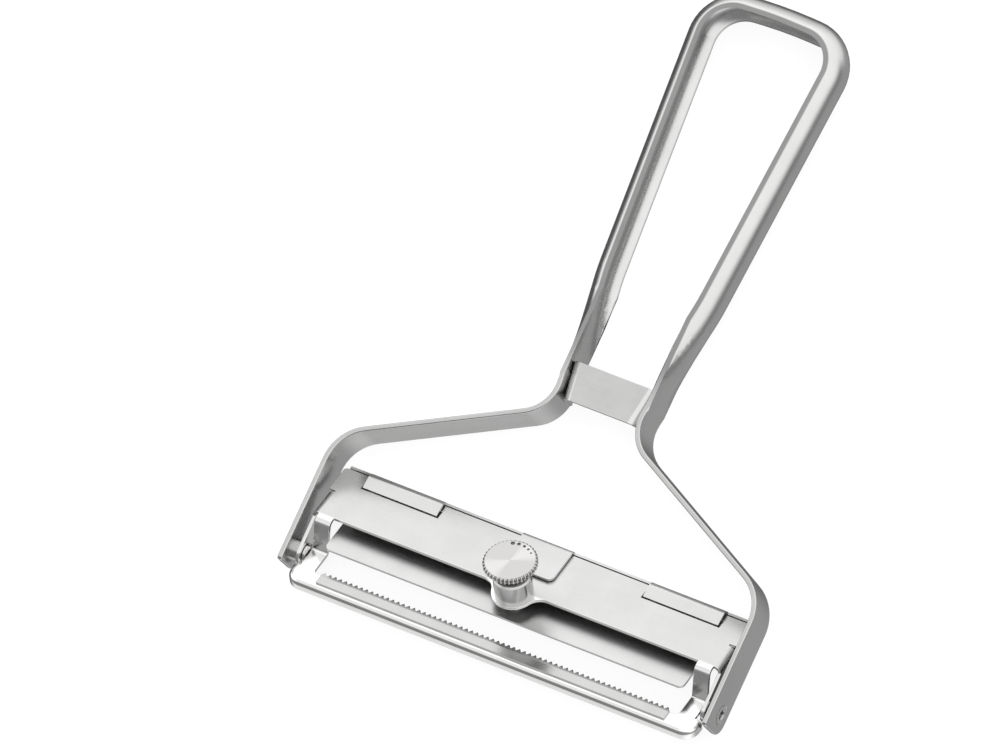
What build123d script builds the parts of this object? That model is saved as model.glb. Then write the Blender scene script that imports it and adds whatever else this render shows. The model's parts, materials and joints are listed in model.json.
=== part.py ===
# Wide peeler: a strap handle with a swinging head that carries a serrated blade,
# and a depth plate that a knurled knob sets.
#
# The peeler lies on its back. X runs along the blade, +Y along the handle to its top,
# and +Z is the front, where the knob is. The origin is the middle of the box at its
# bottom. Heights along the handle start at the pivot axis. The head is drawn flat and
# then leaned back: its own Y runs up the front plate and its own Z is the plate's
# outward side.
import os
from math import asin, atan2, cos, degrees, dist, hypot, radians, sin, tan
from build123d import *

# Handle strap, in millimetres. Corners are the sharp corners of its outer face.
strap_width = 13.0
strap_thickness = 1.5
overall_width = 140.0
strap_end_length = 5.6
strap_end_front_radius = 1.2
strap_end_rear_radius = 4.0
shoulder_height = 34.6
shoulder_radius = 14.0
neck_width = 26.4
neck_height = 63.1
neck_radius = 10.5
leg_bow_width = 39.8
leg_bow_height = 104.5
leg_bow_radius = 80.0
loop_corner_width = 51.8
loop_corner_height = 192.8
loop_corner_radius = 14.5
loop_top_rise = 1.4
loop_top_radius = 150.0
crown_depth = 4.4

# Bridge plate welded between the legs of the loop.
bridge_height = 11.4
bridge_rise = 3.4
bridge_thickness = 1.0
bridge_setback = 2.4
bridge_bend_radius = 3.1
bridge_seat_depth = 1.5
bridge_back_margin = 3.0

# Pivot rivets and their washers.
pivot_height = 5.2
rivet_radius = 2.0
rivet_head_radius = 2.7
rivet_head_height = 0.6
rivet_dimple_radius = 1.5
rivet_dimple_depth = 1.4
rivet_tail_radius = 3.0
rivet_tail_height = 0.7
rivet_clearance = 0.04
washer_radius = 3.4
washer_thickness = 1.7
side_play = 0.2

# Head frame: one sheet, cut out and bent. It is drawn from the front face of its
# blade bar, and the pivot is a little above and behind that point.
pivot_rise = 0.95
pivot_setback = 0.97
frame_sheet = 1.0
plate_offset = 10.0
plate_bottom = 7.7
plate_height = 18.05
plate_corner_radius = 1.2
lobe_radius = 6.5
lobe_fillet_radius = 4.5
side_neck_width = 4.9
side_neck_top_radius = 2.2
side_neck_foot_radius = 1.3
side_neck_front_height = 5.6
side_neck_rear_height = 2.9
bar_top = -5.2
bar_bottom = -10.2
bar_return = 3.4
bar_roll_radius = 1.6
bar_corner_radius = 4.5
ear_radius = 4.5
ear_root_height = 8.6
ear_bend_radius = 1.7
ear_relief_width = 0.6
neck_relief_width = 1.2

# Hinge at the top of the front plate: strips left by two windows, which the
# fingers of the depth plate bend round.
hinge_strip_height = 2.4
hinge_inner_radius = 1.2
roll_gap = 0.35
finger_width = 24.3
finger_side_clearance = 0.5
finger_end_inset = 1.5
finger_bottom = 21.2
finger_end_gap = 0.4
finger_slant = 18.0

# Depth plate: one sheet with a rolled back, two fingers and a middle tongue.
depth_sheet = 0.8
depth_plate_offset = 5.8
depth_plate_bottom = -0.1
depth_plate_end_gap = 1.1
depth_plate_corner_radius = 1.6
depth_shoulder_height = 17.1
depth_shoulder_radius = 2.0
depth_roll_end_gap = 0.4
tongue_width = 16.4
tongue_bottom = 14.0
tongue_gap = 0.3
tongue_bend_radius = 1.0
tongue_corner_radius = 1.8
table_clearance = 0.05

# Serrated blade.
blade_end_gap = 2.7
blade_thickness = 0.6
blade_bottom = -8.4
blade_tip = -4.1
tooth_height = 1.0
tooth_pitch = 1.73

# Threaded boss, stud and knob on one axis square to the front plate.
knob_axis_height = 7.0
boss_radius = 5.57
boss_height = 6.9
boss_edge = 0.5
boss_spigot_radius = 3.0
boss_rivet_radius = 3.8
boss_rivet_height = 0.6
stud_radius = 2.0
stud_tip_radius = 1.2
stud_clearance = 0.05
stud_tip_gap = 0.25
knob_face_height = 13.0
knob_radius = 7.84
knob_thickness = 1.9
knob_chamfer = 0.7
knob_face_recess_radius = 6.9
knob_face_recess_depth = 0.15
knob_end_wall = 0.9
hub_radius = 4.3
hub_gap = 0.3
hub_edge = 0.4

# Worked out from the sizes above.
half_strap_width = strap_width / 2
half_overall_width = overall_width / 2
strap_inner_x = half_overall_width - strap_thickness
bridge_bottom_height = neck_height + bridge_rise
half_frame_width = strap_inner_x - washer_thickness - side_play
ear_inner_x = half_frame_width - frame_sheet
ear_middle_x = half_frame_width - frame_sheet / 2
carrier_outer_x = ear_inner_x - neck_relief_width
half_window_width = carrier_outer_x - side_neck_width
plate_middle = plate_offset - frame_sheet / 2
plate_back = plate_offset - frame_sheet
plate_top = plate_bottom + plate_height
window_top = plate_top - hinge_strip_height
window_bottom = finger_bottom - finger_end_gap
finger_centre = half_window_width - finger_end_inset - finger_width / 2
fold_height = plate_top + roll_gap + depth_sheet / 2
hinge_middle_radius = hinge_inner_radius + depth_sheet / 2
hinge_height = fold_height - hinge_middle_radius
panel_middle = depth_plate_offset - depth_sheet / 2
roll_middle_radius = plate_middle - panel_middle
roll_outer_radius = roll_middle_radius + depth_sheet / 2
roll_height = fold_height - roll_middle_radius
half_panel_width = half_window_width - depth_plate_end_gap
blade_length = 2 * (half_window_width - blade_end_gap)


def lean_angle():
    """Angle in degrees by which the head leans back until its roll reaches the table."""
    up = roll_height - pivot_rise
    out = plate_middle + pivot_setback
    reach = pivot_height - table_clearance - roll_outer_radius
    return degrees(atan2(out, up) + asin(reach / hypot(up, out)))


def mirrored(shape):
    """The shape and its mirror image across the middle plane."""
    return shape + mirror(shape, Plane.YZ)


def swept(section_maker, path, across):
    """Sweep a section along a flat path, from a plane whose X is the given direction."""
    start = Plane(origin=path @ 0, x_dir=across, z_dir=path % 0)
    return sweep(section_maker(start), path=path)


def bent_sheet(points, radii, thickness, width):
    """Sheet of the given width along X, from middle points of (out of plate, up plate)."""
    path = FilletPolyline(*[(0, up, out) for out, up in points], radius=radii)
    return swept(lambda start: start * Rectangle(width, thickness), path, (1, 0, 0))


def bend_reach(before, corner, after, radius):
    """Length that a rounded corner takes from each of its two straight sides."""
    first = atan2(corner[1] - before[1], corner[0] - before[0])
    second = atan2(after[1] - corner[1], after[0] - corner[0])
    return radius * abs(tan((second - first) / 2))


def leg_point(height):
    """Point of the right leg's outer line, between the neck and the bow of the loop."""
    share = (height - neck_height) / (leg_bow_height - neck_height)
    half_width = neck_width / 2 + share * (leg_bow_width - neck_width) / 2
    return (half_width, height, half_strap_width)


def fade_heights():
    """Heights at which the leg's crown begins and is full: its straight lower part."""
    shoulder = (half_overall_width, shoulder_height)
    neck = (neck_width / 2, neck_height)
    bow = (leg_bow_width / 2, leg_bow_height)
    corner = (loop_corner_width / 2, loop_corner_height)
    rise = (leg_bow_height - neck_height) / dist(neck, bow)
    low = neck_height + rise * bend_reach(shoulder, neck, bow, neck_radius)
    high = leg_bow_height - rise * bend_reach(neck, bow, corner, leg_bow_radius)
    return low, high - strap_thickness


def flat_section(start):
    """Section of the flat strap: its outer face is on the path."""
    return start * Pos(0, -strap_thickness / 2) * Rectangle(strap_width, strap_thickness)


def crown_section(start):
    """Section of the loop: the strap is crowned outward and its lips turn inward."""
    lip = crown_depth + strap_thickness
    outer = ThreePointArc(
        (-half_strap_width, -crown_depth), (0, 0), (half_strap_width, -crown_depth)
    )
    right_lip = Line((half_strap_width, -crown_depth), (half_strap_width, -lip))
    inner = ThreePointArc(
        (half_strap_width, -lip), (0, -strap_thickness), (-half_strap_width, -lip)
    )
    left_lip = Line((-half_strap_width, -lip), (-half_strap_width, -crown_depth))
    return start * make_face([outer, right_lip, inner, left_lip])


def make_arm(fade_start):
    """Right arm: from its rounded end past the shoulder and the neck to the fade."""
    path = FilletPolyline(
        (half_overall_width, -strap_end_length, half_strap_width),
        (half_overall_width, shoulder_height, half_strap_width),
        leg_point(neck_height),
        leg_point(fade_start + strap_thickness),
        radius=[shoulder_radius, neck_radius],
    )
    arm = swept(flat_section, path, (0, 0, 1))
    corners = arm.edges().filter_by(Axis.X).group_by(Axis.Y)[0].sort_by(Axis.Z)
    arm = fillet(corners[-1], strap_end_front_radius)
    corners = arm.edges().filter_by(Axis.X).group_by(Axis.Z)[0].sort_by(Axis.Y)
    arm = fillet(corners[0], strap_end_rear_radius)
    bore = Pos(half_overall_width, 0, pivot_height) * Rot(0, 90, 0)
    arm = arm - bore * Cylinder(rivet_radius + rivet_clearance, overall_width - strap_inner_x)
    seat = Pos(half_overall_width - rivet_head_height / 2, 0, pivot_height) * Rot(0, 90, 0)
    return arm - seat * Cylinder(rivet_head_radius + rivet_clearance, rivet_head_height)


def make_handle_strap():
    """One strip: two arms with pivot legs, two faded necks and the crowned loop."""
    fade_start, crown_start = fade_heights()
    fade_path = Line(leg_point(fade_start + strap_thickness), leg_point(crown_start))
    low = Plane(origin=fade_path @ 0, x_dir=(0, 0, 1), z_dir=fade_path % 0)
    high = Plane(origin=fade_path @ 1, x_dir=(0, 0, 1), z_dir=fade_path % 1)
    fade = loft([flat_section(low), crown_section(high)])
    right_line = [
        leg_point(crown_start),
        leg_point(leg_bow_height),
        (loop_corner_width / 2, loop_corner_height, half_strap_width),
    ]
    left_line = [(-x, y, z) for x, y, z in reversed(right_line)]
    top_middle = (0, loop_corner_height + loop_top_rise, half_strap_width)
    radii = [
        leg_bow_radius, loop_corner_radius, loop_top_radius, loop_corner_radius, leg_bow_radius,
    ]
    loop_path = FilletPolyline(*right_line, top_middle, *left_line, radius=radii)
    loop = swept(crown_section, loop_path, (0, 0, 1))
    return mirrored(make_arm(fade_start) + fade) + loop


def bridge_block(inset):
    """Block between the legs, as deep as the bridge plate, made smaller by the inset."""
    low = leg_point(bridge_bottom_height)[0] - bridge_seat_depth - inset
    high = leg_point(bridge_bottom_height + bridge_height)[0] - bridge_seat_depth - inset
    top = bridge_bottom_height + bridge_height
    outline = make_face(Polyline(
        (-low, bridge_bottom_height), (low, bridge_bottom_height), (high, top), (-high, top),
        close=True,
    ))
    depth = strap_width - bridge_setback - bridge_back_margin
    block = Pos(0, 0, bridge_back_margin - inset) * extrude(outline, depth)
    corners = block.faces().sort_by(Axis.Z)[-1].edges().group_by(SortBy.LENGTH)[0]
    return fillet(corners, bridge_bend_radius - inset)


def make_bridge_plate(strap):
    """U-shaped plate: a flat web whose ends turn back along the legs."""
    return bridge_block(0) - bridge_block(bridge_thickness) - strap


def make_rivet():
    """Right pivot rivet: dimpled flush head, shank and flat tail."""
    head_x = half_overall_width
    tail_x = ear_inner_x - side_play
    profile = Polyline(
        (head_x - rivet_dimple_depth, 0),
        (head_x - rivet_dimple_depth, rivet_dimple_radius / 2),
        (head_x, rivet_dimple_radius),
        (head_x, rivet_head_radius),
        (head_x - rivet_head_height, rivet_head_radius),
        (head_x - rivet_head_height, rivet_radius),
        (tail_x, rivet_radius),
        (tail_x, rivet_tail_radius),
        (tail_x - rivet_tail_height, rivet_tail_radius),
        (tail_x - rivet_tail_height, 0),
        close=True,
    )
    return Pos(0, 0, pivot_height) * revolve(make_face(profile), axis=Axis.X)


def make_washer():
    """Right spacer washer between the strap and the head's ear."""
    ring = Cylinder(washer_radius, washer_thickness)
    ring = ring - Cylinder(rivet_radius + rivet_clearance, 2 * washer_thickness)
    middle = strap_inner_x - washer_thickness / 2
    return Pos(middle, 0, pivot_height) * Rot(0, 90, 0) * ring


def plate_sketch():
    """Front plate with its lobe for the boss, its two hinge windows and its side notches."""
    plate = Pos(0, plate_bottom + plate_height / 2) * RectangleRounded(
        2 * half_frame_width, plate_height, plate_corner_radius
    )
    plate = plate + Pos(0, knob_axis_height) * Circle(lobe_radius)
    corners = [
        vertex for vertex in plate.vertices()
        if abs(vertex.X) < 2 * lobe_radius and abs(vertex.Y - plate_bottom) < frame_sheet
    ]
    plate = fillet(corners, lobe_fillet_radius)
    window = Rectangle(finger_width + 2 * finger_side_clearance, window_top - window_bottom)
    notch = Rectangle(2 * ear_bend_radius, 2 * (ear_root_height + ear_relief_width))
    for side in (-1, 1):
        plate = plate - Pos(side * finger_centre, (window_top + window_bottom) / 2) * window
        plate = plate - Pos(side * ear_middle_x, plate_bottom) * notch
    return plate - Pos(0, knob_axis_height) * Circle(boss_spigot_radius + stud_clearance)


def bar_sketch():
    """Blade bar with its two carriers, which narrow beside the pivots."""
    rim_top = pivot_rise - ear_radius - ear_relief_width
    right = Polyline(
        (0, bar_bottom),
        (half_frame_width, bar_bottom),
        (half_frame_width, rim_top),
        (carrier_outer_x, rim_top),
        (carrier_outer_x, 0),
        (half_window_width, 0),
        (half_window_width, bar_top),
        (0, bar_top),
        close=True,
    )
    face = make_face(right)
    inner = [
        vertex for vertex in face.vertices()
        if abs(vertex.X - half_window_width) < frame_sheet and abs(vertex.Y - bar_top) < frame_sheet
    ]
    return mirrored(fillet(inner, side_neck_foot_radius))


def rim_block(inset):
    """Block with the bar's rounded ends, made smaller all round by the inset."""
    height = -2 * bar_bottom
    outline = Pos(0, bar_bottom + inset + height / 2) * RectangleRounded(
        2 * (half_frame_width - inset), height, bar_corner_radius - inset
    )
    return Pos(0, 0, -2 * bar_return) * extrude(outline, 2 * bar_return - inset)


def make_bar():
    """Blade bar as a shallow tray: its lower edge and ends are bent back all round."""
    tray = Pos(0, 0, -bar_return) * extrude(bar_sketch(), bar_return)
    outer = rim_block(0)
    outer = fillet(outer.faces().sort_by(Axis.Z)[-1].edges(), bar_roll_radius)
    return (tray & outer) - rim_block(frame_sheet)


def make_ear():
    """Right ear: a flange bent back from the plate's side, which tapers to the pivot."""
    middle = plate_bottom + ear_root_height / 2
    bend_end = plate_middle - ear_bend_radius
    path = FilletPolyline(
        (carrier_outer_x - frame_sheet, middle, plate_middle),
        (ear_middle_x, middle, plate_middle),
        (ear_middle_x, middle, bend_end - frame_sheet),
        radius=ear_bend_radius,
    )
    bend = swept(lambda start: start * Rectangle(ear_root_height, frame_sheet), path, (0, 1, 0))
    pivot = Pos(pivot_rise, -pivot_setback)
    lug = pivot * Circle(ear_radius)
    root = Pos(middle, bend_end - frame_sheet / 2) * Rectangle(ear_root_height, frame_sheet)
    outline = make_hull(lug.edges() + root.edges())
    outline = outline - pivot * Circle(rivet_radius + rivet_clearance)
    plane = Plane(origin=(ear_inner_x, 0, 0), x_dir=(0, 1, 0), z_dir=(1, 0, 0))
    return bend + extrude(plane * outline, frame_sheet)


def make_side_neck():
    """Right side neck: carries the blade bar down and back from the plate's corner."""
    neck = bent_sheet(
        [
            (plate_middle, plate_bottom + frame_sheet),
            (plate_middle, side_neck_front_height),
            (-frame_sheet / 2, side_neck_rear_height),
            (-frame_sheet / 2, -frame_sheet),
        ],
        [side_neck_top_radius, side_neck_foot_radius],
        frame_sheet, side_neck_width,
    )
    return Pos(half_window_width + side_neck_width / 2, 0, 0) * neck


def make_head_frame():
    """Front plate, side necks, blade bar and ears: one cut and bent sheet."""
    plate = Pos(0, 0, plate_back) * extrude(plate_sketch(), frame_sheet)
    return plate + make_bar() + mirrored(make_side_neck() + make_ear())


def make_panel():
    """Panel behind the front plate, whose top is rolled forward over the plate's edge."""
    half_roll_width = ear_inner_x - depth_roll_end_gap
    panel = bent_sheet(
        [
            (panel_middle, depth_plate_bottom),
            (panel_middle, fold_height),
            (plate_offset, fold_height),
        ],
        roll_middle_radius, depth_sheet, 2 * half_roll_width,
    )
    side = Box(ear_inner_x, plate_top, plate_offset, align=(Align.MIN, Align.MAX, Align.CENTER))
    panel = panel - mirrored(Pos(half_panel_width, depth_shoulder_height, panel_middle) * side)
    corners = panel.edges().filter_by(Axis.Z).group_by(Axis.Y)
    panel = fillet(corners[1], depth_shoulder_radius)
    return fillet(panel.edges().filter_by(Axis.Z).group_by(Axis.Y)[0], depth_plate_corner_radius)


def make_finger():
    """Right hinge finger: bends round the strip above its window and ends inside it."""
    slant = radians(finger_slant)
    front = plate_middle + hinge_middle_radius * (1 + sin(slant)) / cos(slant)
    drop = hinge_height - finger_bottom
    end = plate_middle + (hinge_middle_radius - sin(slant) * drop) / cos(slant)
    finger = bent_sheet(
        [(plate_back - depth_sheet, fold_height), (front, fold_height), (end, finger_bottom)],
        hinge_middle_radius, depth_sheet, finger_width,
    )
    return Pos(finger_centre, 0, 0) * finger


def make_tongue():
    """Middle tongue: comes over the plate's top edge and down in front of the plate."""
    front = plate_offset + tongue_gap + depth_sheet / 2
    tongue = bent_sheet(
        [(plate_back - depth_sheet, fold_height), (front, fold_height), (front, tongue_bottom)],
        tongue_bend_radius, depth_sheet, tongue_width,
    )
    low_corners = tongue.edges().filter_by(Axis.Z).group_by(Axis.Y)[0]
    return fillet(low_corners, tongue_corner_radius)


def make_depth_plate():
    """One sheet: the panel with its roll, the two hinge fingers and the tongue."""
    return make_panel() + mirrored(make_finger()) + make_tongue()


def make_blade():
    """Strip on the front of the bar, with a row of pointed teeth along its top."""
    count = round(blade_length / tooth_pitch)
    pitch = blade_length / count
    root = blade_tip - tooth_height
    half_length = blade_length / 2
    points = [(-half_length, blade_bottom), (-half_length, root)]
    for index in range(count):
        left = -half_length + index * pitch
        points.append((left + pitch / 2, blade_tip))
        points.append((left + pitch, root))
    points.append((half_length, blade_bottom))
    return extrude(make_face(Polyline(*points, close=True)), blade_thickness)


def turned(points):
    """Turned piece on the knob axis, from points of (radius, distance out of plate)."""
    profile = Polyline(*[(radius, 0, out) for radius, out in points], close=True)
    return Pos(0, knob_axis_height, 0) * revolve(make_face(profile), axis=Axis.Z)


def make_boss():
    """Threaded boss on the lobe, riveted over behind the plate."""
    bore = stud_radius + stud_clearance
    top = plate_offset + boss_height
    tail = plate_back - boss_rivet_height
    return turned([
        (bore, top),
        (boss_radius - boss_edge, top),
        (boss_radius, top - boss_edge),
        (boss_radius, plate_offset),
        (boss_spigot_radius, plate_offset),
        (boss_spigot_radius, plate_back),
        (boss_rivet_radius, plate_back),
        (boss_rivet_radius - boss_rivet_height / 2, tail),
        (bore, tail),
    ])


def stud_end():
    """Distance of the stud's outer end out of the pivot plane."""
    return plate_offset + knob_face_height - knob_end_wall - stud_clearance


def make_stud():
    """Adjusting stud, whose rounded tip bears on the depth plate."""
    tip = depth_plate_offset + stud_tip_gap
    return turned([
        (0, tip),
        (stud_tip_radius, tip + stud_tip_gap / 2),
        (stud_radius, tip + stud_radius - stud_tip_radius / 2),
        (stud_radius, stud_end()),
        (0, stud_end()),
    ])


def make_knob():
    """Knob: a thin disc with a turned face on a round hub, bored for the stud."""
    bore = stud_radius + stud_clearance
    face = plate_offset + knob_face_height
    disc_bottom = face - knob_thickness
    hub_bottom = plate_offset + boss_height + hub_gap
    return turned([
        (0, face - knob_face_recess_depth),
        (knob_face_recess_radius, face),
        (knob_radius - knob_chamfer, face),
        (knob_radius, face - knob_chamfer),
        (knob_radius, disc_bottom),
        (hub_radius, disc_bottom),
        (hub_radius, hub_bottom + hub_edge),
        (hub_radius - hub_edge, hub_bottom),
        (bore, hub_bottom),
        (bore, face - knob_end_wall),
        (0, face - knob_end_wall),
    ])


lean = lean_angle()
handle_strap = make_handle_strap()
rivet = make_rivet()
washer = make_washer()
head_place = Pos(0, 0, pivot_height) * Rot(-lean, 0, 0) * Pos(0, -pivot_rise, pivot_setback)

nodes = {
    "handle_strap": handle_strap,
    "bridge_plate": make_bridge_plate(handle_strap),
    "right_pivot_rivet": rivet,
    "left_pivot_rivet": mirror(rivet, Plane.YZ),
    "right_pivot_washer": washer,
    "left_pivot_washer": mirror(washer, Plane.YZ),
    "head_frame": head_place * make_head_frame(),
    "serrated_blade": head_place * make_blade(),
    "threaded_boss": head_place * make_boss(),
    "depth_plate": head_place * make_depth_plate(),
    "adjusting_stud": head_place * make_stud(),
    "adjusting_knob": head_place * make_knob(),
}

tops = [shape.bounding_box().max.Y for shape in nodes.values()]
bottoms = [shape.bounding_box().min.Y for shape in nodes.values()]
middle_y = (max(tops) + min(bottoms)) / 2
print("pivot axis at y", -middle_y, "z", pivot_height, "lean", lean)
print("box from y", min(bottoms) - middle_y, "to", max(tops) - middle_y)

os.makedirs("parts", exist_ok=True)
for name, shape in nodes.items():
    export_step(Pos(0, -middle_y, 0) * shape, "parts/" + name + ".step")
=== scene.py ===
# Wide peeler, lying on its back on a pale floor, seen from in front and a little right.
import bpy
import json
from math import atan2, cos, pi, radians, sin
from mathutils import Matrix, Vector


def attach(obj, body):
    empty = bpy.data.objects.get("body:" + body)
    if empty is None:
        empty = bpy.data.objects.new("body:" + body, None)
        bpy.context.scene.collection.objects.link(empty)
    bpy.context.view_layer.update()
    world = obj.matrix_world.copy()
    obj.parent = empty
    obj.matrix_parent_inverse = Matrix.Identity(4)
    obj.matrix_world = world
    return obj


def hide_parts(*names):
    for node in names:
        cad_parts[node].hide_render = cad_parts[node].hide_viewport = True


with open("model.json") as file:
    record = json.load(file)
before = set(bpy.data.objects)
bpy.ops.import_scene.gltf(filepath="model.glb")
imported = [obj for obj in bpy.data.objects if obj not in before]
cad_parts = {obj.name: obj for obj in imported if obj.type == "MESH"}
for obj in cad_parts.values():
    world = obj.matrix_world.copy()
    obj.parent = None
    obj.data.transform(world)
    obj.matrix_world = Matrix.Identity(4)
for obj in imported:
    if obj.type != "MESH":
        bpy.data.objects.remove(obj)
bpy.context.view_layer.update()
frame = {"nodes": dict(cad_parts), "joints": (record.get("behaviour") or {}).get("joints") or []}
MM = 0.001
PER_METRE = 1000
MERGE_GAP = 0.002  # millimetres

# Camera: a long lens, far away. Its angles take the strap's front plane as upright.
VIEW_TURN = radians(23.751)
VIEW_TILT = radians(-8.444)
VIEW_ROLL = radians(24.698)
VIEW_DISTANCE = 4713.1 * MM
VIEW_LENS = 613.9
VIEW_SENSOR = 36
VIEW_REACH = 100
VIEW_CENTRE = (-33.393 * MM, 65.875 * MM)
VIEW_DATUM_DROP = 0.396 * MM
STRAP_WIDTH = 13.0 * MM

# Head frame of reference: X along the blade, Y up the plate, Z out of it, in millimetres.
PIVOT_RISE = 0.95
PIVOT_SETBACK = 0.97
joints = {joint["name"]: joint for joint in frame["joints"]}
PIVOT = Vector(joints["head_swing"]["pos_m"])
OUT = Vector(joints["screw_travel"]["axis"]).normalized()
UP = OUT.cross(Vector((1, 0, 0)))
LEAN = atan2(OUT.y, OUT.z)
HEAD_ORIGIN = PIVOT - UP * (PIVOT_RISE * MM) + OUT * (PIVOT_SETBACK * MM)
HEAD_AXES = Matrix((Vector((1, 0, 0)), UP, OUT)).transposed().to_4x4()
HEAD = Matrix.Translation(HEAD_ORIGIN) @ HEAD_AXES @ Matrix.Scale(MM, 4)

# Knob, in millimetres along and round its axis. Its outline is (radius, height).
KNOB_HEIGHT = 7.0
KNOB_CENTRE = HEAD @ Vector((0, KNOB_HEIGHT, 0))
KNOB_PLACE = HEAD @ Matrix.Translation((0, KNOB_HEIGHT, 0))
KNOB_RIBS = 40
KNOB_RADIUS = 7.84
KNOB_RIM = 22.4
KNOB_PROFILE = [
    (0, 22.86), (2.0, 22.9), (4.5, 22.95), (6.9, 22.98), (7.15, 22.96), (7.52, 22.76),
    (KNOB_RADIUS, KNOB_RIM), (KNOB_RADIUS, 21.3), (7.66, 21.1), (4.6, 21.1), (4.3, 20.9),
    (4.3, 17.5), (4.0, 17.2), (2.15, 17.2), (2.05, 17.3), (2.05, 22.1), (0, 22.1),
]
GROOVE_START = 7.4  # radius from which the knurl's grooves are cut
GROOVE_SHRINK = 0.952  # radius of a groove over that of a rib
GROOVE_SHADE_FOOT = (7.16, 7.3)  # radii between which the painted shade of a groove begins
GROOVE_SHADE_CREST = (7.46, 7.72)  # and those between which it ends
PAINTED_HIGHLIGHT_ANGLE = radians(56)  # direction of the face's painted highlights

# Index dots, as (angle, radius) on their ring.
DOT_RING = 6.2
DOT_CUT_HEIGHT = 23.0
DOT_CUT_DEPTH = 0.4
DOT_SIDES = 20
DOTS = [(113.5, 0.62), (96.9, 0.54), (80.0, 0.46), (65.0, 0.38), (49.8, 0.30)]

# Stud and its thread, in millimetres. Its outline is (radius, height).
THREAD_PITCH = 0.8
THREAD_CREST = 1.98
THREAD_ROOT = 1.6
THREAD_SUNK = THREAD_ROOT - 0.2
THREAD_START = 7.3
THREAD_FLANK = THREAD_PITCH * 0.45
THREAD_TURNS = 17
THREAD_STEPS = 32
STUD_STEPS = 40
STUD_PROFILE = [
    (0, 6.05), (0.9, 6.1), (1.2, 6.3), (THREAD_ROOT, 7.1), (THREAD_ROOT, 21.9), (1.4, 22.05),
    (0, 22.05),
]

# Blade, in the head's millimetres: the front of its teeth is ground back from a line.
GRIND_LINE = -5.7
TEETH_START = -5.6
TEETH_FRONT = 0.5
GRIND_DEPTH = 0.1

# Rounding of the bent sheets, as (width in millimetres, segments), and the angles between
# faces that count as a sharp edge and as flat.
STRAP_ROUNDING = (0.45, 3)
SHEET_ROUNDING = (0.12, 2)
SHARP_ANGLE = radians(50)
FLAT_ANGLE = radians(0.5)

# Limits of smooth shading, in degrees.
TURNED_SMOOTH = 30
SHEET_SMOOTH = 35
BLADE_SMOOTH = 8

# Finishes of the sheet steel, as (tone, roughness).
STRAP_FINISH = (0.57, 0.26)
FRAME_FINISH = (0.78, 0.16)
BRIDGE_FINISH = (0.56, 0.2)
DEPTH_PLATE_FINISH = (0.56, 0.33)
BLADE_FINISH = (0.46, 0.2)

# Finishes of the turned steel, as (tone, roughness, width of its rings in millimetres).
BOSS_FINISH = (0.46, 0.18, 0.22)
STUD_FINISH = (0.5, 0.2, 0.2)
RIVET_FINISH = (0.62, 0.14, 0.2)
WASHER_FINISH = (0.6, 0.2, 0.25)
FACE_RINGS = 0.16
# Radius of the painted shade in a rivet's hollow, in millimetres.
RIVET_HOLLOW_SHADE = 1.5

# Tones of the duller parts and of the painted shade, and the millimetres between which they
# begin.
CUT_EDGE_SHADE_TONE = 0.26
FRONT_PLATE_TONE = 0.52
HOLLOW_SHADE_TONE = 0.09
REAR_EDGE = (0.1, 0.4)
FRONT_EDGE = (12.75, 12.95)
LOOP_START = (-22, -4)
FRONT_PLATE_RISE = (7.2, 8.2)
FRONT_PLATE_OUT = (8.6, 9.2)

# Grain of the steel: noise scales, stretches along the grind, and its depth.
CLOUD_SCALE = 0.09
SMUDGE_SCALE = 0.5
MARK_SCALE = 2.2
MARK_STRETCH = (14, 14, 0.5)
MARK_TURN = (0.4, 0.3, 0.7)
STRAP_STRETCH = (60, 60, 0.4)
SHEET_STRETCH = (50, 0.5, 0.5)
GRAIN_DEPTH = 0.002 * MM
TURNED_DEPTH = 0.003 * MM

# Floor and studio: brightness from each side, and how far each band dims it.
FLOOR_SIZE = 6.0
FLOOR_TONE = 0.18
FLOOR_GLOW = 0.87
LOW_LIGHT = 0.15
RIGHT_LIGHT = 0.45
FRONT_LIGHT = 1.1
BACK_LIGHT = 1.0
HIGH_LIGHT = 1.85
SIDE_BELT_DIM = 0.6
FRONT_BELT_DIM = 0.75
LEFT_SKY_DIM = 0.65
FRONT_SKY_DIM = 0.8
FRONT_HORIZON = 0.42
BOX_PLACE = (-0.6, 1.25, 0.75)
BOX_SIZE = (1.2, 0.7)
BOX_LIGHT = 0.12


def place_camera():
    """Camera at the photograph's angle, found from its turn, tilt and roll."""
    forward = Vector((
        -sin(VIEW_TURN) * cos(VIEW_TILT), cos(VIEW_TURN) * cos(VIEW_TILT), -sin(VIEW_TILT),
    ))
    level_right = forward.cross(Vector((0, 0, 1))).normalized()
    level_up = level_right.cross(forward)
    right = cos(VIEW_ROLL) * level_right + sin(VIEW_ROLL) * level_up
    up = cos(VIEW_ROLL) * level_up - sin(VIEW_ROLL) * level_right
    place = Vector((VIEW_CENTRE[0], 0, VIEW_CENTRE[1])) - forward * VIEW_DISTANCE

    def lying(vector):
        return Vector((vector.x, vector.z, -vector.y))

    front = Vector((0, PIVOT.y - VIEW_DATUM_DROP, STRAP_WIDTH))
    camera_data = bpy.data.cameras.new("camera")
    camera_data.lens = VIEW_LENS
    camera_data.sensor_width = VIEW_SENSOR
    camera_data.clip_end = VIEW_REACH
    camera = bpy.data.objects.new("camera", camera_data)
    bpy.context.collection.objects.link(camera)
    axes = Matrix((lying(right), lying(up), -lying(forward))).transposed()
    camera.matrix_world = Matrix.Translation(front + lying(place)) @ axes.to_4x4()
    bpy.context.scene.camera = camera


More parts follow.
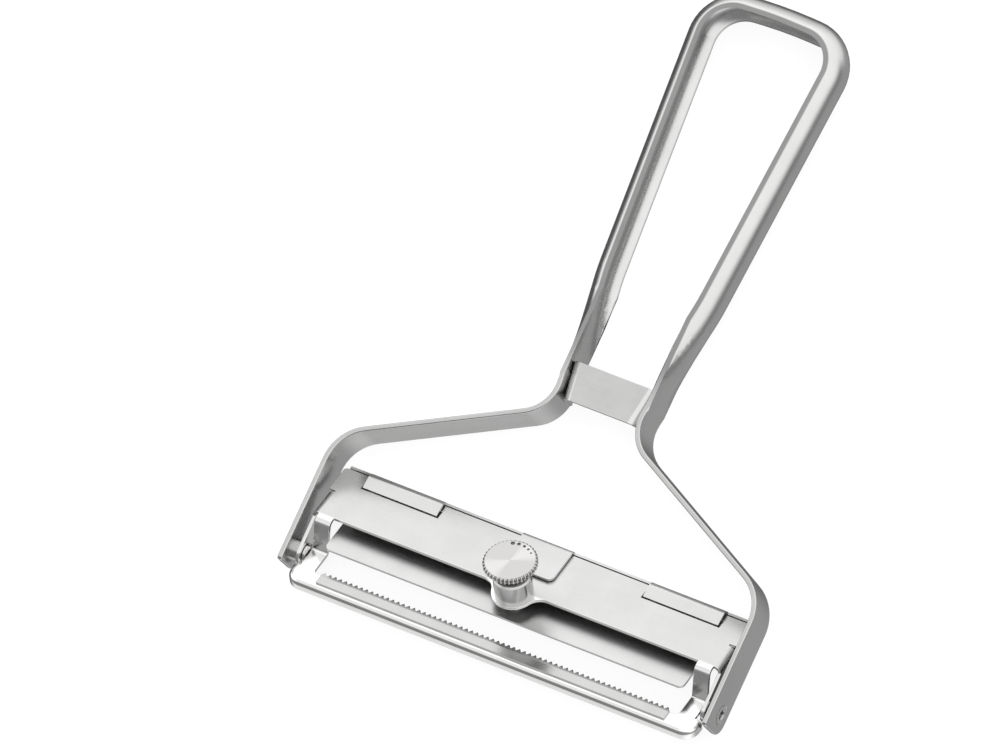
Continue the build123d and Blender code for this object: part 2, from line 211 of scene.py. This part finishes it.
class Field:
    """A shader socket that can stand in Python sums."""

    def __init__(self, shader, socket):
        self.shader = shader
        self.socket = socket

    def math(self, operation, first, second=0.0):
        sockets = {0: first, 1: second}
        return self.shader.make("ShaderNodeMath", {"operation": operation}, sockets)

    def __add__(self, other):
        return self.math("ADD", self, other)

    def __radd__(self, other):
        return self.math("ADD", other, self)

    def __sub__(self, other):
        return self.math("SUBTRACT", self, other)

    def __rsub__(self, other):
        return self.math("SUBTRACT", other, self)

    def __mul__(self, other):
        return self.math("MULTIPLY", self, other)

    def __rmul__(self, other):
        return self.math("MULTIPLY", other, self)

    def __pow__(self, other):
        return self.math("POWER", self, other)

    def rise(self, low, high):
        """0 below the low value, 1 above the high one, and smooth between them."""
        settings = {"interpolation_type": "SMOOTHSTEP"}
        sockets = {"Value": self, "From Min": low, "From Max": high}
        return self.shader.make("ShaderNodeMapRange", settings, sockets)


class Shader:
    """Node tree of one material or world, and the one method that makes its nodes."""

    def __init__(self, owner):
        self.owner = owner
        owner.use_nodes = True
        self.tree = owner.node_tree
        self.tree.nodes.clear()

    def make(self, kind, settings, sockets, output=0):
        node = self.tree.nodes.new(kind)
        for name, value in settings.items():
            if name == "stops":
                set_stops(node.color_ramp, value)
            else:
                setattr(node, name, value)
        for name, value in sockets.items():
            if isinstance(value, Field):
                self.tree.links.new(value.socket, node.inputs[name])
            else:
                node.inputs[name].default_value = value
        return Field(self, node.outputs[output]) if node.outputs else None

    def place(self, turn=0.0, centre=Vector((0, 0, 0))):
        """Object coordinates in millimetres from a centre, turned about X."""
        shift = Matrix.Rotation(turn, 3, "X") @ centre * -PER_METRE
        coordinates = self.make("ShaderNodeTexCoord", {}, {}, "Object")
        sockets = {
            "Vector": coordinates, "Location": shift,
            "Rotation": (turn, 0, 0), "Scale": (PER_METRE, PER_METRE, PER_METRE),
        }
        return self.make("ShaderNodeMapping", {"vector_type": "POINT"}, sockets)

    def head_place(self):
        """Millimetres along the blade, up the plate and out of it."""
        return self.place(LEAN, HEAD_ORIGIN)

    def stretch(self, place, scale, turn=(0, 0, 0)):
        sockets = {"Vector": place, "Rotation": turn, "Scale": scale}
        return self.make("ShaderNodeMapping", {"vector_type": "TEXTURE"}, sockets)

    def part(self, vector, axis):
        return self.make("ShaderNodeSeparateXYZ", {}, {"Vector": vector}, axis)

    def noise(self, place, scale, detail=4.0, roughness=0.6):
        sockets = {"Vector": place, "Scale": scale, "Detail": detail, "Roughness": roughness}
        return self.make("ShaderNodeTexNoise", {}, sockets, "Fac")

    def ramp(self, value, stops):
        return self.make("ShaderNodeValToRGB", {"stops": stops}, {"Fac": value}, "Color")

    def blend(self, share, first, second):
        """Colour between two colours."""
        sockets = {"Factor": share, 6: first, 7: second}
        return self.make("ShaderNodeMix", {"data_type": "RGBA"}, sockets, 2)

    def bump(self, height, strength, distance):
        sockets = {"Height": height, "Strength": strength, "Distance": distance}
        return self.make("ShaderNodeBump", {}, sockets)

    def finish(self, sockets):
        shader = self.make("ShaderNodeBsdfPrincipled", {}, sockets)
        self.make("ShaderNodeOutputMaterial", {}, {"Surface": shader})
        return self.owner


def set_stops(ramp, stops):
    """Give a colour ramp its stops, as (place, grey)."""
    while len(ramp.elements) < len(stops):
        ramp.elements.new(0.5)
    for element, (place, value) in zip(ramp.elements, stops):
        element.position = place
        element.color = (value, value, value, 1)


def new_material(name):
    return Shader(bpy.data.materials.new(name))


def grey(value, warmth=0.01):
    """Steel colour of the given lightness, a touch warmer than grey."""
    return (value, value * (1 - warmth / 2), value * (1 - warmth), 1)


def ground_steel(shader, place, tone, roughness, lines, dull_and_shaded=None, dull_and_shade_tone=0.0):
    """Finish a steel material from its tone, roughness, grain lines, and its duller parts and
    painted shade.
    """
    cloud = shader.noise(place, CLOUD_SCALE, 3.0)
    smudge = shader.noise(place, SMUDGE_SCALE, 3.0, 0.7)
    marks = shader.noise(shader.stretch(place, MARK_STRETCH, MARK_TURN), MARK_SCALE, 2.0)
    scratch = marks.rise(0.72, 0.78)
    shade = cloud.rise(0.3, 0.7) * 0.5 + lines * 0.35 + smudge * 0.15
    colour = shader.blend(shade, grey(tone * 0.93), grey(tone * 1.04))
    # Duller parts, and painted shade where a caller passes it, take their own tone.
    if dull_and_shaded:
        dull_and_shade_colour = shader.blend(shade, grey(dull_and_shade_tone * 0.94), grey(dull_and_shade_tone * 1.05))
        colour = shader.blend(dull_and_shaded, colour, dull_and_shade_colour)
    return shader.finish({
        "Base Color": colour, "Metallic": 1.0,
        "Normal": shader.bump(lines - scratch * 0.4, 0.4, GRAIN_DEPTH),
        "Roughness": roughness + (lines - 0.5) * 0.1 + (smudge - 0.5) * 0.05 + scratch * 0.05,
    })


def strap_steel():
    """Ground strap: lines along the strip, and duller cut edges with painted shade on them,
    strongest round the loop.
    """
    tone, roughness = STRAP_FINISH
    shader = new_material("ground_strap_steel")
    place = shader.place()
    lines = shader.noise(shader.stretch(place, STRAP_STRETCH), 1.0, 2.0, 0.6)
    depth = shader.part(place, "Z")
    edge = depth.rise(*FRONT_EDGE) + 1 - depth.rise(*REAR_EDGE)
    loop = shader.part(place, "Y").rise(*LOOP_START)
    # Cut edges: a rougher, duller finish, and painted shade in their darker tone, strongest
    # round the loop.
    dull_and_shaded = edge * (0.25 + loop * 0.75)
    return ground_steel(shader, place, tone, roughness + dull_and_shaded * 0.1, lines, dull_and_shaded, CUT_EDGE_SHADE_TONE)


def sheet_lines(shader, place):
    """Fine grinding lines along the blade."""
    return shader.noise(shader.stretch(place, SHEET_STRETCH), 1.0, 5.0, 0.75)


def sheet_steel(name, finish):
    """Satin sheet with fine lines along the blade."""
    tone, roughness = finish
    shader = new_material(name)
    place = shader.head_place()
    return ground_steel(shader, place, tone, roughness, sheet_lines(shader, place))


def frame_steel():
    """Head frame: satin front plate, and brightly polished necks, ears and blade bar."""
    tone, roughness = FRAME_FINISH
    shader = new_material("head_frame_steel")
    place = shader.head_place()
    lines = sheet_lines(shader, place)
    up, out = shader.part(place, "Y"), shader.part(place, "Z")
    plate = up.rise(*FRONT_PLATE_RISE) * out.rise(*FRONT_PLATE_OUT)
    soft_lines = 0.5 + (lines - 0.5) * (0.25 + plate * 0.75)
    return ground_steel(
        shader, place, tone, roughness + plate * 0.1, soft_lines, plate, FRONT_PLATE_TONE,
    )


def turned_rings(shader, across, along, width):
    """Distance from an axis, and a wave that repeats at every ring of the given width."""
    radius = (across * across + along * along) ** 0.5
    wave = {0: radius * (2 * pi / width)}
    return radius, shader.make("ShaderNodeMath", {"operation": "SINE"}, wave)


def turned_steel(name, centre, finish, turn=0.0, axis="Z", hollow=0.0):
    """Turned steel: fine rings round an axis, and painted shade in a hollow of the given radius.
    """
    tone, roughness, ring_width = finish
    shader = new_material(name)
    place = shader.place(turn, centre)
    across, along = [shader.part(place, other) for other in "XYZ" if other != axis]
    radius, rings = turned_rings(shader, across, along, ring_width)
    rough = shader.noise(place, 1.2, 3.0)
    lines = 0.5 + rings * 0.3 + (rough - 0.5) * 0.4
    # Painted shade: near black inside the hollow, fading out at its edge.
    shaded = 1 - radius.rise(hollow * 0.8, hollow * 1.05) if hollow else None
    return ground_steel(shader, place, tone, roughness, lines, shaded, HOLLOW_SHADE_TONE)


def knob_steel():
    """Knob: painted highlights make two bright sectors on its turned face, and painted shade
    darkens the grooves of its rim.
    """
    # Plain turned steel, the grey of the painted highlights, and the near black of the painted
    # shade in the grooves.
    plain, bright, dark = grey(0.46, 0.03), grey(0.58, 0.02), grey(0.1, 0.03)
    shader = new_material("knob_steel")
    place = shader.place(LEAN, KNOB_CENTRE)
    across, along, out = [shader.part(place, axis) for axis in "XYZ"]
    radius, rings = turned_rings(shader, across, along, FACE_RINGS)
    angle = shader.make("ShaderNodeMath", {"operation": "ARCTAN2"}, {0: along, 1: across})
    # Painted highlight: two bright sectors on the face, set by the angle round the axis.
    wave = {0: (angle - PAINTED_HIGHLIGHT_ANGLE) * 2}
    swing = shader.make("ShaderNodeMath", {"operation": "COSINE"}, wave)
    painted_highlight = swing.rise(0.1, 1.0) * out.rise(KNOB_RIM, KNOB_RIM + 0.4)
    rough = shader.noise(place, 1.4, 3.0)
    lines = 0.5 + rings * 0.3 + (rough - 0.5) * 0.3
    below_face = 1 - out.rise(KNOB_RIM - 0.1, KNOB_RIM + 0.1)
    # Painted shade in the knurl's grooves, below the face.
    groove = (1 - radius.rise(*GROOVE_SHADE_CREST)) * radius.rise(*GROOVE_SHADE_FOOT) * below_face
    return shader.finish({
        "Base Color": shader.blend(groove * 0.9, shader.blend(painted_highlight, plain, bright), dark),
        "Metallic": 1.0,
        "Normal": shader.bump(lines, 0.5, TURNED_DEPTH),
        "Roughness": 0.24 + painted_highlight * 0.1 + (rough - 0.5) * 0.1,
    })


def dark_dot_colour():
    """Dark colour of the knob's index dots."""
    shader = new_material("dot_dark_fill")
    cloud = shader.noise(shader.place(), 3.0)
    colour = shader.ramp(cloud, [(0.3, 0.05), (0.7, 0.09)])
    return shader.finish({"Base Color": colour, "Roughness": 0.35 + cloud * 0.2})


def assign(node, material):
    """Give a CAD node's object its material, in every slot."""
    data = frame["nodes"][node].data
    if not data.materials:
        data.materials.append(material)
    for index in range(len(data.materials)):
        data.materials[index] = material


def dress_nodes():
    """Materials of the CAD nodes that are shown as they are."""
    assign("depth_plate", sheet_steel("depth_plate_steel", DEPTH_PLATE_FINISH))
    assign("threaded_boss", turned_steel("boss_steel", KNOB_CENTRE, BOSS_FINISH, LEAN))
    for side in ("left", "right"):
        rivet = turned_steel(
            side + "_rivet_steel", PIVOT, RIVET_FINISH, axis="X", hollow=RIVET_HOLLOW_SHADE,
        )
        assign(side + "_pivot_rivet", rivet)
        washer = turned_steel(side + "_washer_steel", PIVOT, WASHER_FINISH, axis="X")
        assign(side + "_pivot_washer", washer)


def start(adder, name, **settings):
    """Add a primitive, as the only selected object."""
    bpy.ops.object.select_all(action="DESELECT")
    adder(**settings)
    bpy.context.object.name = name
    return bpy.context.object


def pick(piece):
    """Make the piece the only selected and the active object."""
    bpy.ops.object.select_all(action="DESELECT")
    piece.select_set(True)
    bpy.context.view_layer.objects.active = piece


def select_vertices(piece, wanted):
    """Select the vertices whose places pass a test, and go into edit mode with them."""
    bpy.ops.object.mode_set(mode="EDIT")
    bpy.ops.mesh.select_mode(type="VERT")
    bpy.ops.mesh.select_all(action="DESELECT")
    bpy.ops.object.mode_set(mode="OBJECT")
    for vertex in piece.data.vertices:
        vertex.select = wanted(vertex.co)
    bpy.ops.object.mode_set(mode="EDIT")


def draw_line(name, points):
    """Mesh line through points of (radius, height), drawn from one vertex."""
    piece = start(bpy.ops.mesh.primitive_plane_add, name, size=1)
    bpy.ops.object.mode_set(mode="EDIT")
    bpy.ops.mesh.merge(type="CENTER")
    bpy.ops.transform.translate(value=(points[0][0], 0, points[0][1]))
    for before, after in zip(points, points[1:]):
        step = (after[0] - before[0], 0, after[1] - before[1])
        bpy.ops.mesh.extrude_vertices_move(TRANSFORM_OT_translate={"value": step})
    bpy.ops.object.mode_set(mode="OBJECT")
    return piece


def spin_line(name, points, steps):
    """Turned piece: a line of (radius, height) points spun round Z."""
    piece = draw_line(name, points)
    bpy.ops.object.mode_set(mode="EDIT")
    bpy.ops.mesh.select_all(action="SELECT")
    bpy.ops.mesh.spin(steps=steps, angle=2 * pi, center=(0, 0, 0), axis=(0, 0, 1))
    close_mesh()
    return piece


def close_mesh():
    """Merge what coincides, turn the faces outwards and leave edit mode."""
    bpy.ops.mesh.select_all(action="SELECT")
    bpy.ops.mesh.remove_doubles(threshold=MERGE_GAP)
    bpy.ops.mesh.normals_make_consistent(inside=False)
    bpy.ops.object.mode_set(mode="OBJECT")


def apply_modifier(piece, name, kind, settings):
    """Add a modifier to the piece and apply it."""
    modifier = piece.modifiers.new(name, kind)
    for key, value in settings.items():
        setattr(modifier, key, value)
    bpy.context.view_layer.objects.active = piece
    bpy.ops.object.modifier_apply(modifier=modifier.name)


def settle(piece, place, material, nodes, smooth):
    """Put the finished piece in its place, in its material, instead of its CAD nodes."""
    pick(piece)
    piece.matrix_world = place
    bpy.ops.object.transform_apply(location=True, rotation=True, scale=True)
    bpy.ops.object.shade_smooth_by_angle(angle=radians(smooth))
    apply_modifier(piece, "flat faces", "WEIGHTED_NORMAL", {"keep_sharp": True})
    if not piece.data.materials:
        piece.data.materials.append(material)
    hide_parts(*nodes)


def cut_dots(knob):
    """Sink the index dots into the knob's face. Their faces keep the dark dot colour."""
    dot_colour = dark_dot_colour()
    for index, (angle, radius) in enumerate(DOTS):
        turn = radians(angle)
        spot = (DOT_RING * cos(turn), DOT_RING * sin(turn), DOT_CUT_HEIGHT)
        dot = start(
            bpy.ops.mesh.primitive_cylinder_add, "dot_cutter_%d" % index,
            vertices=DOT_SIDES, radius=radius, depth=DOT_CUT_DEPTH, location=spot,
        )
        dot.data.materials.append(dot_colour)
        apply_modifier(knob, "dot", "BOOLEAN", {
            "operation": "DIFFERENCE", "solver": "EXACT", "object": dot,
            "material_mode": "TRANSFER",
        })
        bpy.data.objects.remove(dot)


def make_knob():
    """Knob with a dished face, a knurled rim and five index dots."""
    knob = spin_line("knurled_knob", KNOB_PROFILE, 4 * KNOB_RIBS)
    step = pi / (2 * KNOB_RIBS)

    def in_groove(spot):
        turn = atan2(spot.y, spot.x) % (2 * pi)
        return spot.xy.length > GROOVE_START and round(turn / step) % 4 > 1

    select_vertices(knob, in_groove)
    bpy.ops.transform.resize(value=(GROOVE_SHRINK, GROOVE_SHRINK, 1), center_override=(0, 0, 0))
    bpy.ops.object.mode_set(mode="OBJECT")
    knob.data.materials.append(knob_steel())
    cut_dots(knob)
    settle(knob, KNOB_PLACE, None, ["adjusting_knob"], TURNED_SMOOTH)
    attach(knob, "knob")


def make_stud():
    """Threaded stud with a rounded tip."""
    stud = spin_line("threaded_stud", STUD_PROFILE, STUD_STEPS)
    ridge = draw_line("thread_ridge", [
        (THREAD_SUNK, THREAD_START), (THREAD_ROOT, THREAD_START),
        (THREAD_CREST, THREAD_START + THREAD_FLANK),
        (THREAD_CREST, THREAD_START + THREAD_PITCH - THREAD_FLANK),
        (THREAD_ROOT, THREAD_START + THREAD_PITCH), (THREAD_SUNK, THREAD_START + THREAD_PITCH),
    ])
    apply_modifier(ridge, "helix", "SCREW", {
        "screw_offset": THREAD_PITCH, "iterations": THREAD_TURNS, "steps": THREAD_STEPS,
        "render_steps": THREAD_STEPS, "use_merge_vertices": True, "merge_threshold": 0.001,
    })
    bpy.ops.object.mode_set(mode="EDIT")
    close_mesh()
    pick(stud)
    ridge.select_set(True)
    bpy.ops.object.join()
    material = turned_steel("stud_steel", KNOB_CENTRE, STUD_FINISH, LEAN)
    settle(stud, KNOB_PLACE, material, ["adjusting_stud"], TURNED_SMOOTH)
    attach(stud, "screw")


def copy_node(node, name):
    """Merged copy of a CAD node's mesh, as a new piece."""
    piece = bpy.data.objects.new(name, frame["nodes"][node].data.copy())
    bpy.context.collection.objects.link(piece)
    pick(piece)
    piece.data.materials.clear()
    bpy.ops.object.mode_set(mode="EDIT")
    bpy.ops.mesh.select_all(action="SELECT")
    bpy.ops.mesh.remove_doubles(threshold=MERGE_GAP * MM)
    bpy.ops.mesh.dissolve_limited(angle_limit=FLAT_ANGLE)
    bpy.ops.object.mode_set(mode="OBJECT")
    return piece


def soften_edges(node, body, name, rounding, material):
    """Copy of a CAD node whose sharp edges are rounded over, instead of the node."""
    width, segments = rounding
    piece = copy_node(node, name)
    apply_modifier(piece, "round", "BEVEL", {
        "width": width * MM, "segments": segments, "limit_method": "ANGLE",
        "angle_limit": SHARP_ANGLE, "use_clamp_overlap": False, "loop_slide": False,
    })
    for vertex in piece.data.vertices:
        vertex.co.z = max(vertex.co.z, 0)
    settle(piece, Matrix.Identity(4), material, [node], SHEET_SMOOTH)
    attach(piece, body)


def make_blade():
    """Blade whose teeth are ground back from a line across its front."""
    blade = copy_node("serrated_blade", "ground_blade")
    bpy.ops.object.mode_set(mode="EDIT")
    bpy.ops.mesh.select_all(action="SELECT")
    bpy.ops.mesh.bisect(plane_co=HEAD @ Vector((0, GRIND_LINE, 0)), plane_no=UP)
    bpy.ops.object.mode_set(mode="OBJECT")
    to_head = HEAD.inverted()

    def on_teeth(spot):
        spot = to_head @ spot
        return spot.z > TEETH_FRONT and spot.y > TEETH_START

    select_vertices(blade, on_teeth)
    bpy.ops.transform.translate(value=OUT * -GRIND_DEPTH * MM)
    bpy.ops.object.mode_set(mode="OBJECT")
    material = sheet_steel("blade_steel", BLADE_FINISH)
    nodes = ["serrated_blade"]
    settle(blade, Matrix.Identity(4), material, nodes, BLADE_SMOOTH)
    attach(blade, "head")


def make_floor():
    """Plain pale floor under the peeler, which glows a little so that it stays white."""
    floor = start(
        bpy.ops.mesh.primitive_plane_add, "floor", size=FLOOR_SIZE, location=(0, 0, 0),
    )
    shader = new_material("pale_floor")
    floor.data.materials.append(shader.finish({
        "Base Color": (FLOOR_TONE, FLOOR_TONE, FLOOR_TONE, 1), "Roughness": 0.9,
        "Specular IOR Level": 0.0,
        "Emission Color": (1, 1, 1, 1), "Emission Strength": FLOOR_GLOW,
    }))
    floor.visible_glossy = False


def add_softbox(name, place, size, light):
    """Rectangular soft light that looks at the peeler and shows as the given brightness."""
    light_data = bpy.data.lights.new(name, "AREA")
    light_data.shape = "RECTANGLE"
    light_data.size = size[0]
    light_data.size_y = size[1]
    light_data.energy = light * pi * size[0] * size[1]
    box = bpy.data.objects.new(name, light_data)
    bpy.context.collection.objects.link(box)
    box.location = place
    aim = -Vector(place)
    box.rotation_euler = aim.to_track_quat("-Z", "Y").to_euler()


def light_studio():
    """Soft studio: light from above and behind and off the floor in front, darker elsewhere."""
    world = bpy.data.worlds.new("studio")
    bpy.context.scene.world = world
    shader = Shader(world)
    direction = shader.make("ShaderNodeTexCoord", {}, {}, "Generated")
    across, along, height = [shader.part(direction, axis) for axis in "XYZ"]
    front = (along * -1).rise(0.15, 0.75)
    back = along.rise(0.35, 0.8) * height.rise(-0.6, -0.2)
    right = across.rise(-0.4, 0.4)
    side_belt = height.rise(-0.5, -0.1) * (1 - front) * (1 - back)
    front_belt = height.rise(-0.45, -0.15) * front
    belts = 1 - side_belt * SIDE_BELT_DIM - front_belt * FRONT_BELT_DIM
    low = LOW_LIGHT + right * RIGHT_LIGHT + front * FRONT_LIGHT + back * BACK_LIGHT
    left_sky = height.rise(0.75, 0.92) * (across * -1).rise(0.15, 0.4)
    left_sky = left_sky * (1 - along.rise(0.2, 0.45))
    front_sky = (along * -1).rise(0.3, 0.65)
    high = (HIGH_LIGHT - left_sky * LEFT_SKY_DIM) * (1 - front_sky * FRONT_SKY_DIM)
    share = (height - front * FRONT_HORIZON).rise(-0.18, 0.34)
    strength = low * belts * (1 - share) + high * share
    background = shader.make("ShaderNodeBackground", {}, {"Strength": strength})
    shader.make("ShaderNodeOutputWorld", {}, {"Surface": background})
    add_softbox("far_box", BOX_PLACE, BOX_SIZE, BOX_LIGHT)


bpy.context.scene.view_settings.view_transform = "Standard"
place_camera()
make_floor()
light_studio()
dress_nodes()
make_knob()
make_stud()
make_blade()
bridge_steel = sheet_steel("bridge_steel", BRIDGE_FINISH)
soften_edges("handle_strap", "handle", "rounded_strap", STRAP_ROUNDING, strap_steel())
soften_edges("head_frame", "head", "rounded_head_frame", SHEET_ROUNDING, frame_steel())
soften_edges("bridge_plate", "handle", "rounded_bridge", SHEET_ROUNDING, bridge_steel)
